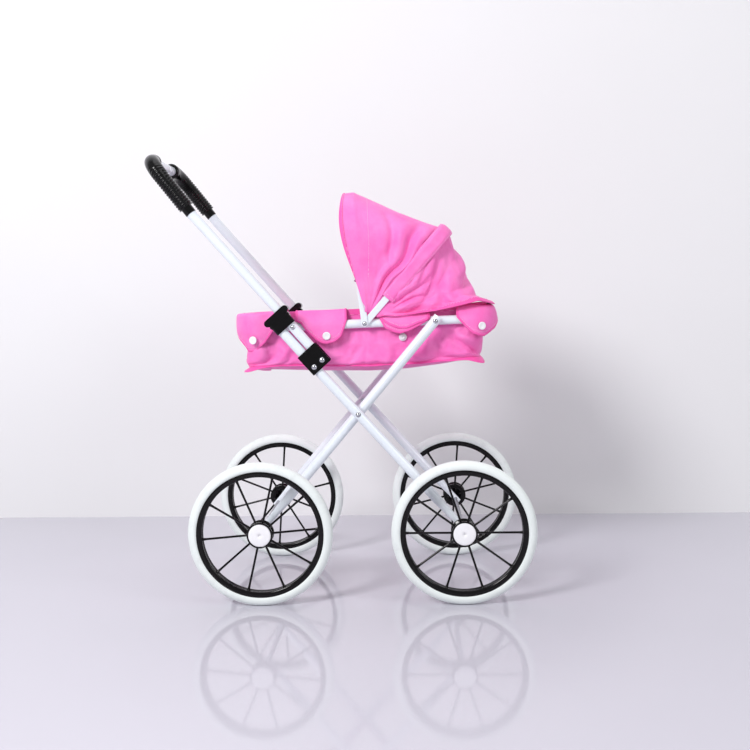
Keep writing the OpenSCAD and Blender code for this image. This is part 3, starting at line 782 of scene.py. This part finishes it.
def hood():
    """The two bows, the cloth over them, its hems and channels and their stitching."""
    bow("front_bow_strip", FRONT_BOW, HOOD_REACH - BOW_T / 2, 85.4 * MM - BOW_T / 2, 78 * MM,
        "hood_front", ("hood_front_bow",))
    bow("middle_bow_strip", MID_BOW, 195.5 * MM, 83.6 * MM - BOW_T / 2, 43 * MM,
        "hood_middle", ("hood_mid_bow",))

    grid = front_cloth_grid()
    rows = len(grid)
    grid = hung("front_cloth_helper", grid, [*range(11), *range(rows - 3, rows)],
                frames=14, slack=0.012, cap=5 * MM, gravity=0.35)
    normals = facing(grid, HOOD_INSIDE)
    cloth = slab("hood_front_cloth", grid, CLOTH_T, "cloth", normals=normals,
                 stands_for=("hood_front_panel", "hood_mid_panel"))
    soften(cloth)
    middle_part = slice(8, -8)
    extras = [
        strip("hood_front_hem", grid, normals, 0, 2.2, 0.8 * MM, "cloth_trim", lift=0.85 * MM),
        strip("hood_bow_pocket", grid[:, middle_part], normals[:, middle_part], 0.2, 17, 0.7 * MM,
              "cloth", 14, lift=-2.9 * MM),
        row_stitches("hood_front_hem_stitches", grid, normals, 2.0, 1.3 * MM),
        stitches("hood_pocket_stitches", grid[17, 20:-20], normals[17, 20:-20], proud=0.5 * MM),
    ]
    for part in (cloth, *extras):
        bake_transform(part)

    grid = rear_cloth_grid()
    rows = len(grid)
    grid = hung("rear_cloth_helper", grid, [*range(4), *range(rows - 3, rows)],
                frames=14, slack=0.015, cap=5 * MM, gravity=0.5)
    normals = facing(grid, HOOD_INSIDE)
    cloth = slab("hood_rear_cloth", grid, CLOTH_T, "cloth", normals=normals,
                 stands_for=("hood_rear_panel",))
    soften(cloth)
    extras = [
        strip("hood_rear_hem", grid, normals, rows - 3.9, rows - 1.001, 0.9 * MM, "cloth_trim",
              lift=0.9 * MM),
        row_stitches("hood_rear_hem_stitches", grid, normals, rows - 3.7, 1.4 * MM),
    ]
    for part in (cloth, *extras):
        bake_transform(part)
    middle_channel()


def middle_channel():
    """The cloth channel over the middle bow, with a line of stitches along each edge and end."""
    half_w = 12 * MM
    line = arch(197.2 * MM, 84.8 * MM, 43.6 * MM, 52 * MM)
    spine = about_hood(line, MID_BOW)
    width = np.array([-math.sin(MID_BOW), 0.0, math.cos(MID_BOW)])
    share = np.linspace(-1, 1, 13)
    grid = spine[None] + share[:, None, None] * half_w * width
    normal = facing(grid, HOOD_INSIDE)
    columns = grid.shape[1]
    crumple = field(ripple, np.arange(columns) / 5.5, share[:, None] * 1.1, 6.0)
    edge = np.abs(share)[:, None]
    lift = -2.7 * ease(edge, 0.5, 1.0) + (0.7 + 0.5 * (1 - edge)) * crumple
    grid = grid + normal * lift[..., None] * MM
    normal = facing(grid, HOOD_INSIDE)
    channel = slab("hood_middle_channel", grid, 0.9 * MM, "cloth", normals=normal)
    soften(channel)
    parts = [channel]
    for number, row in (("front", 11), ("rear", 1)):
        parts.append(stitches(f"hood_channel_stitches_{number}", grid[row], normal[row], proud=0.5 * MM))
    for side, column in (("right", 2), ("left", columns - 3)):
        parts.append(stitches(f"hood_channel_end_stitches_{side}", grid[:, column], normal[:, column],
                              proud=0.5 * MM, width=0.35 * MM))
    for part in parts:
        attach(part, "hood_middle")


# ---------------------------------------------------------------- bassinet

RAIL_Y = 73 * MM
RAIL_BACK = -304.6 * MM
RAIL_FRONT = 90.5 * MM
RAIL_CORNER = 35 * MM
BAG_INSIDE = np.array([RAIL[0] - 0.1, 0.0, RAIL[1] - 0.02])
# columns of the bag's rings: the long sides, the corners, the front end and the back end
LONG_N, BEND_N, END_N = 84, 14, 20
BAG_ROWS = 40
BAG_T = 1.1 * MM
FLAP_ROWS = 22
BINDING_SIDES = 14


def ring(back, front, half, corner):
    """(along, across) round a rounded rectangle, from the middle of its front end by way of the left."""
    def bend(x, y, first):
        angles = first + np.linspace(0, math.pi / 2, BEND_N, endpoint=False)
        return np.stack([x + corner * np.cos(angles), y + corner * np.sin(angles)], axis=-1)

    def line(x0, y0, x1, y1, n):
        part = np.linspace(0, 1, n, endpoint=False)[:, None]
        return np.array([x0, y0]) + (np.array([x1, y1]) - np.array([x0, y0])) * part
    x0, x1, y = back + corner, front - corner, half - corner
    return np.concatenate([
        line(front, 0, front, y, END_N // 2), bend(x1, y, 0.0), line(x1, half, x0, half, LONG_N),
        bend(x0, y, math.pi / 2), line(back, y, back, -y, END_N), bend(x0, -y, math.pi),
        line(x0, -half, x1, -half, LONG_N), bend(x1, -y, 1.5 * math.pi),
        line(front, -y, front, 0, END_N // 2)])


def rim_height(along, across):
    """Height of the bag's rim above the rail's middle line, in millimetres."""
    near = np.interp(along / MM, [-300, -274, -215, -165, -122, -60, 30, 84],
                     [21.5, 21.8, 16.5, 15.5, 14.8, 13, 18, 24])
    return near + (23.0 - near) * ease(across / MM, 20, 60)


def seam_depth(along):
    """Depth of the bag's bottom seam below the rail's middle line, in millimetres."""
    return np.interp(along / MM, [-300, -291, -263, -216, -163, -107, -44, 18, 50, 76],
                     [-66, -61.5, -60, -60, -62.8, -65, -64.6, -62.4, -59.5, -61])


def bag_grid():
    """The bag's wall, from its rim down inside the rail and out to its bottom seam."""
    depth = [-66, -50, -32, -13, -7, 0, 24]
    half = [65.5, 70.0, 72.5, 66.5, 64.8, 64.6, 65.2]
    front = [71, 67.5, 71, 79, 81.5, 82, 83]
    back = [-297, -293.5, -293.5, -296, -296.8, -297, -298.6]
    rows = []
    for f in np.linspace(0, 1, BAG_ROWS):
        level = 21 + (-66 - 21) * f
        size = [np.interp(level, depth, v) * MM for v in (back, front, half)]
        rows.append(ring(*size, (24 + 6 * f) * MM))
    plan = np.stack(rows)
    along, across = plan[..., 0], plan[..., 1]
    part = np.linspace(0, 1, BAG_ROWS)[:, None]
    top = rim_height(along, -across)
    low = seam_depth(along)
    up = (top + (low - top) * part) * MM
    grid = on_rail(along, across, up)
    normal = facing(grid, BAG_INSIDE, wrap=True)
    a, c, u = along / MM, across / MM, up / MM
    below = ease(-u, 12, 30) * ease(1 - part, 0.0, 0.12)
    end = np.maximum(ease(-a, 150, 250), ease(a, -20, 50))
    left = c > 0
    pull = field(crease, (a - 0.9 * np.abs(u) * np.sign(a + 110)) / 48 + 7 * left, u / 46 + c / 70, 21.0)
    soft = field(ripple, a / 60 + 3 * left, u / 26 + c / 60, 22.0)
    fine = field(ripple, a / 14, u / 11 + c / 15, 23.0)
    rim = field(ripple, a / 34, c / 34, 24.0)
    lift = (below * (9.5 * (pull - 0.62) * (0.4 + 0.6 * end) + 3.4 * soft + 1.3 * fine)
            + 0.9 * rim * (1 - ease(part, 0.0, 0.2)))
    return grid + normal * lift[..., None] * MM


def bag_base(seam):
    """The bottom panel: the seam ring drawn in to the middle line, sagging between."""
    count = len(seam)
    centre_a = np.clip(seam[:, 0], seam[:, 0].min() + 30 * MM, seam[:, 0].max() - 30 * MM)
    spine = np.stack([centre_a, np.zeros(count), seam[:, 2]], axis=-1)
    rows = []
    for f in np.linspace(0, 1, 16):
        line = seam + (spine - seam) * f
        inward = math.sin(math.pi / 2 * min(1.0, 1.25 * f))
        sag = np.interp(line[:, 0] - RAIL[0], np.array([-300, -268, -220, -108, -44, 20, 52, 80]) * MM,
                        [3, 8, 12, 13, 12, 8, 6, 3]) * inward
        wave = np.array([ripple(p[0] / (55 * MM), p[1] / (40 * MM), 31.0) for p in line])
        rows.append(line - np.array([0, 0, 1.0]) * ((sag + 1.2 * wave * inward) * MM)[:, None])
    return np.stack(rows)


def bassinet():
    grid = bag_grid()
    grid = hung("bag_helper", grid, [*range(17), len(grid) - 1], wrap=True,
                frames=16, slack=0.02, cap=5 * MM, gravity=0.6)
    normals = facing(grid, BAG_INSIDE, wrap=True)
    wall = slab("bassinet_wall", grid, BAG_T, "cloth", wrap=True, normals=normals,
                body="bassinet_frame", stands_for=("bassinet",))
    soften(wall)
    band = strip("bassinet_rim_band", grid, normals, 0, 4.4, 1.5 * MM, "cloth_trim", lift=0.5 * MM,
                 wrap=True, body="bassinet_frame")
    soften(band)
    sewn = [stitches("rim_band_stitches", grid[4], normals[4], "bassinet_frame", proud=1.4 * MM),
            stitches("rim_band_stitches_inside", grid[4], -normals[4], "bassinet_frame", proud=0.5 * MM)]
    seam = grid[-1]
    base_grid = bag_base(seam)
    base = slab("bassinet_base", base_grid, BAG_T, "cloth", wrap=True,
                normals=facing(base_grid, BAG_INSIDE, wrap=True), body="bassinet_frame")
    soften(base)
    welt = seam_welt(seam, normals[-1])


def seam_welt(seam, outward):
    """The raw edges of the bottom seam, sewn together and standing out, longest at the corners."""
    along = (seam[:, 0] - RAIL[0]) / MM
    across = np.abs(seam[:, 1]) / MM
    near_end = np.maximum(gauss(along, along.min() + 4, 13), gauss(along, along.max() - 5, 14))
    corner = near_end * gauss(across, 58, 16)
    flutter = np.array([ripple(p[0] / (16 * MM), p[1] / (16 * MM), 41.0) for p in seam])
    reach = (3.4 + 13 * corner + 1.1 * flutter) * MM
    flat = outward.copy()
    flat[:, 2] = 0
    flat /= np.linalg.norm(flat, axis=1, keepdims=True)
    drop = np.array([0, 0, -1.0]) * (0.75 + 0.4 * flutter)[:, None] + flat * (0.75 + 0.5 * corner)[:, None]
    drop /= np.linalg.norm(drop, axis=1, keepdims=True)
    grid = np.stack([seam + outward * 0.2 * MM + drop * (reach * f)[:, None] for f in np.linspace(0, 1, 5)])
    welt = slab("bassinet_seam_welt", grid, 1.5 * MM, "cloth_trim", wrap=True, body="bassinet_frame")
    soften(welt)
    return welt


# ---------------------------------------------------------------- rim flaps

def rail_walk(distance):
    """Place and outward direction, in plan, along the rail's middle line on the left side. distance is
    how far forward along the side; past the ends it turns the corner and runs across the end."""
    back, front = RAIL_BACK + RAIL_CORNER, RAIL_FRONT - RAIL_CORNER
    quarter = RAIL_CORNER * math.pi / 2
    if back <= distance <= front:
        return np.array([distance, RAIL_Y]), np.array([0.0, 1.0])
    sign = 1 if distance > front else -1
    past = distance - front if sign > 0 else back - distance
    centre = np.array([front if sign > 0 else back, RAIL_Y - RAIL_CORNER])
    turn = min(past, quarter) / RAIL_CORNER
    out = np.array([sign * math.sin(turn), math.cos(turn)])
    place = centre + RAIL_CORNER * out
    if past > quarter:
        place = place - np.array([0.0, past - quarter])
    return place, out


def flap_section(rim, lean):
    """(outward from the rail's middle line, up) of a flap: over the rail from the rim and down outside.
    lean is from 0, where the rim stands inside the rail, to 1, where it leans out over it."""
    upright = np.array([(-7.6, rim - 1.5), (-7.0, rim + 0.4), (-4.6, rim + 0.8), (-0.5, rim - 2.6),
                        (4.2, min(rim - 5.5, 11.0)), (7.6, 5.0), (8.9, 0.0), (9.2, -6.0),
                        (8.7, -14.0), (8.0, -24.0), (7.0, -36.0)])
    leaning = np.array([(-7.6, rim - 5), (-4.0, rim - 1.5), (1.5, rim), (6.4, rim - 0.6),
                        (7.8, rim - 4), (8.4, rim - 10), (8.9, 0.0), (8.6, -7.0),
                        (6.6, -14.0), (2.5, -24.0), (-3.0, -36.0)])
    return upright + (leaning - upright) * lean


def flap(name, side, distances, outline, seed, rim_drop, lift):
    """A flap over the rail. outline gives its lower edge's height at each distance, in millimetres."""
    columns = []
    for d in distances:
        place, out = rail_walk(d * MM)
        rim = float(rim_height(place[0], -side * abs(place[1]))) - rim_drop
        lean = max(float(ease(-d, -RAIL_BACK / MM - 62, -RAIL_BACK / MM - 20)), 0.55 * float(ease(d, 50, 85)))
        section = flap_section(rim, lean)
        low = float(np.interp(d, *zip(*outline)))
        fine = evenly(section, 120)
        below = int(np.argmax((fine[:, 1] <= low) & (fine[:, 0] > 0))) or 119
        line = evenly(fine[:below + 1], FLAP_ROWS)
        hang = ease(8 - line[:, 1], 0, 30)
        wave = np.array([ripple(d / 24, u / 30, seed)
                         + 0.7 * (crease(d / 30 + u / 40, u / 45, seed + 9) - 0.6) for u in line[:, 1]])
        outwards = (line[:, 0] + lift + hang * (2.4 * wave + 0.4)) * MM
        plan = place[None] + out[None] * outwards[:, None]
        columns.append(on_rail(plan[:, 0], side * plan[:, 1], line[:, 1] * MM))
    grid = np.stack(columns, axis=1)
    normals = facing(grid, BAG_INSIDE + np.array([0, 0, 0.01]))
    made = slab(name, grid, BAG_T, "cloth", normals=normals, body="bassinet_frame",
                stands_for=("rim_flaps",))
    soften(made)
    return made, bound_edge(f"{name}_binding", edge_of(grid), edge_of(normals)), grid, normals


def edge_of(grid):
    """The line down one end of a grid, along its bottom and up the other end."""
    return np.concatenate([grid[:-1, 0], grid[-1], grid[-2::-1, -1]])


def bound_edge(name, line, normals):
    """A folded tape over a cloth edge: a flat oval swept along it."""
    both = evenly(np.concatenate([line, normals * 0.01], axis=1), max(24, int(len(line) * 0.8)))
    line, normals = both[:, :3], both[:, 3:] / 0.01
    normals /= np.linalg.norm(normals, axis=1, keepdims=True)
    tangent = np.gradient(line, axis=0)
    tangent /= np.linalg.norm(tangent, axis=1, keepdims=True)
    side = np.cross(tangent, normals)
    angles = np.linspace(0, 2 * math.pi, BINDING_SIDES, endpoint=False)
    grid = (line[:, None] + side[:, None] * np.cos(angles)[None, :, None] * 1.9 * MM
            + normals[:, None] * np.sin(angles)[None, :, None] * 1.15 * MM)
    flat = layout(grid).reshape(-1, 2)
    faces = grid_faces(len(line), BINDING_SIDES, wrap=True)
    faces += [list(range(BINDING_SIDES)),
              [(len(line) - 1) * BINDING_SIDES + j for j in range(BINDING_SIDES)][::-1]]
    return piece(name, grid.reshape(-1, 3), faces, "cloth_trim", "bassinet_frame", uv=flat)


def rim_flaps():
    """Flaps A at the rear corners, B and C along the sides and D at the front corners."""
    quarter = RAIL_CORNER / MM * math.pi / 2
    back, front = (RAIL_BACK + RAIL_CORNER) / MM, (RAIL_FRONT - RAIL_CORNER) / MM
    end = (RAIL_Y - RAIL_CORNER) / MM
    rear_end, front_end = back - quarter - end, front + quarter + end
    for side_name, side in SIDES.items():
        shapes = (
            ("rear_flap", np.linspace(rear_end, -243, 64),
             [(rear_end, -7), (back - quarter - 4, -9), (back - 40, -20), (back - 27, -30.5),
              (back - 14, -32.5), (-274, -29), (-265, -21.5), (-254, -7), (-249, 0), (-243, 6)],
             51.0, 0.0, 0.0),
            ("side_flap", np.linspace(-214, -138, 46),
             [(-214, 9), (-206, 5), (-196.6, -9), (-184.7, -20.5), (-177, -25.4), (-169.6, -27.3),
              (-157, -24.7), (-147.4, -17.4), (-142.2, -5.2), (-138, 7)],
             52.0, 0.0, 0.0),
            ("front_flap", np.linspace(35, front_end, 60),
             [(35, 5), (47.3, -10), (58, -20.5), (66, -24.5), (74, -25.5), (82, -20),
              (front + quarter - 12, -9), (front + quarter + 2, -1), (front_end, 2)],
             53.0, 3.0, 0.0),
        )
        for label, distances, outline, seed, drop, lift in shapes:
            sewn_flap(f"{label}_{side_name}", side, distances, outline, seed + side, drop, lift)
        loose_flap(side_name, side)


def sewn_flap(name, side, distances, outline, seed, drop, lift):
    made, binding, grid, normals = flap(name, side, distances, outline, seed, drop, lift)
    row = stitches(f"{name}_stitches", grid[-3, 2:-2], normals[-3, 2:-2], "bassinet_frame", proud=0.75 * MM)


def loose_flap(side_name, side):
    """The flap whose snap is open: it has slipped up and lies on the rail in two layers."""
    outline = [(-84, 7), (-76, -7.5), (-64, -13.2), (-54.6, -15.7), (-42, -12.5), (-26.4, -5.5), (-9, 4)]
    upper = [(-84, 7), (-70, -2), (-56, -8.0), (-44, -8.2), (-30, -2.5), (-16, 2.0), (-9, 5)]
    sewn_flap(f"loose_flap_{side_name}", side, np.linspace(-84, -9, 46), outline, 54.0 + side, 5.0, -0.6)
    sewn_flap(f"loose_flap_fold_{side_name}", side, np.linspace(-82, -11, 44), upper, 57.0 + side, 4.6, 0.5)


# ---------------------------------------------------------------- snaps

def snap_stud(name, along, up, out_by, turn, side, domed=True):
    """A moulded snap: a ring with a dished middle, lying flat on cloth at a place by the rail."""
    shape = [(0.05, 0.0), (5.6, 0.0), (6.2, 0.35), (6.2, 0.8), (5.8, 1.15), (4.6, 1.3), (3.6, 0.95),
             (1.2, 0.8), (0.05, 0.8)]
    if not domed:
        shape = [(0.05, 0.0), (5.6, 0.0), (6.2, 0.3), (6.0, 0.7), (3.6, 0.8), (3.2, 1.9), (2.3, 2.2),
                 (1.9, 1.2), (0.05, 1.1)]
    points, faces = turned((0.0, 0.0), 0.0, [(r * MM, h * MM) for r, h in shape], 40)
    flat = np.array([math.cos(turn), math.sin(turn)])
    out = np.array([-math.sin(turn), math.cos(turn)])
    place = np.array([along, out_by])
    plan = place + np.outer(points[:, 0], flat) + np.outer(points[:, 1], out)
    spots = on_rail(plan[:, 0], side * plan[:, 1], points[:, 2] + up)
    return piece(name, spots, faces if side > 0 else [f[::-1] for f in faces], "white_plastic",
                 "bassinet_frame", ("snap_buttons",))


def snaps():
    for side_name, side in SIDES.items():
        for label, distance, up in (("rear", -279.9, -18.7), ("side", -168.4, -16.5), ("front", 68.4, -11.0)):
            place, out = rail_walk(distance * MM)
            spot = place + out * 10.9 * MM
            turn = math.atan2(-out[0], out[1])
            snap_stud(f"snap_{label}_{side_name}", spot[0], up * MM, spot[1], turn, side)
        snap_stud(f"snap_open_{side_name}", -50.6 * MM, -23.6 * MM, 71.3 * MM, 0.0, side, domed=False)


# ---------------------------------------------------------------- studio

def camera():
    """A long way off on the right, a little above the middle, as the pram was photographed."""
    data = bpy.data.cameras.new("camera")
    data.lens = 50.0
    data.sensor_width = 36.0
    made = bpy.data.objects.new("camera", data)
    bpy.context.scene.collection.objects.link(made)
    yaw, pitch, roll = math.radians(-1.42), math.radians(4.95), math.radians(0.73)
    aim = Vector((math.sin(yaw) * math.cos(pitch), math.cos(yaw) * math.cos(pitch), -math.sin(pitch)))
    made.location = (0.0934, -1.6912, 0.4836)
    made.rotation_mode = "QUATERNION"
    made.rotation_quaternion = aim.to_track_quat("-Z", "Y") @ Quaternion((0, 0, 1), -roll)
    bpy.context.scene.camera = made


def backdrop_finish(name, light, dark, roughness):
    f = Finish(name, roughness, IOR=1.45)
    f.colour(f.mix(f.noise(0.6, 2), light, dark))
    f.rough(f.noise(0.25, 3), 0.3, 0.7, roughness * 0.85, roughness * 1.2)
    return f.material


def studio():
    """A glossy pale floor that meets a plain wall behind the pram, and soft light from above."""
    reach = 6.0
    wall_y = 0.47
    sheet = backdrop_finish("floor_sheet", srgb(206, 204, 214), srgb(200, 198, 208), 0.07)
    paper = backdrop_finish("wall_paper", srgb(240, 240, 241), srgb(235, 235, 236), 0.7)
    meeting = [(reach, wall_y, 0), (-reach, wall_y, 0)]
    floor = piece("floor", [(-reach, -reach, 0), (reach, -reach, 0), *meeting], [[0, 1, 2, 3]], sheet,
                  smooth=False)
    wall = piece("wall", [*meeting[::-1], (reach, wall_y, reach), (-reach, wall_y, reach)], [[0, 1, 2, 3]],
                 paper, smooth=False)
    lamp("key", (-1.3, -1.9, 1.7), (0.0, 0.0, 0.3), 0.8, 50, (1.0, 0.99, 1.0))
    lamp("fill", (1.9, -1.5, 1.3), (0.0, 0.0, 0.3), 1.0, 13, (1.0, 1.0, 1.0))
    lamp("top", (0.0, -0.1, 2.4), (0.0, 0.0, 0.0), 1.6, 8, (0.99, 0.98, 1.0))
    world = bpy.data.worlds.new("studio")
    world.use_nodes = True
    sky = world.node_tree.nodes["Background"]
    sky.inputs["Color"].default_value = (0.97, 0.965, 1.0, 1.0)
    sky.inputs["Strength"].default_value = 0.4
    bpy.context.scene.world = world
    bpy.context.scene.view_settings.view_transform = "Standard"
    bpy.context.scene.view_settings.look = "None"


def lamp(name, place, aim, size, power, tint):
    data = bpy.data.lights.new(name, "AREA")
    data.shape = "DISK"
    data.size = size
    data.energy = power
    data.color = tint
    made = bpy.data.objects.new(name, data)
    made.location = place
    made.rotation_mode = "QUATERNION"
    made.rotation_quaternion = (Vector(aim) - Vector(place)).to_track_quat("-Z", "Y")
    bpy.context.scene.collection.objects.link(made)


camera()
frame_parts()
wheels()
grips()
hood()
bassinet()
rim_flaps()
snaps()
studio()
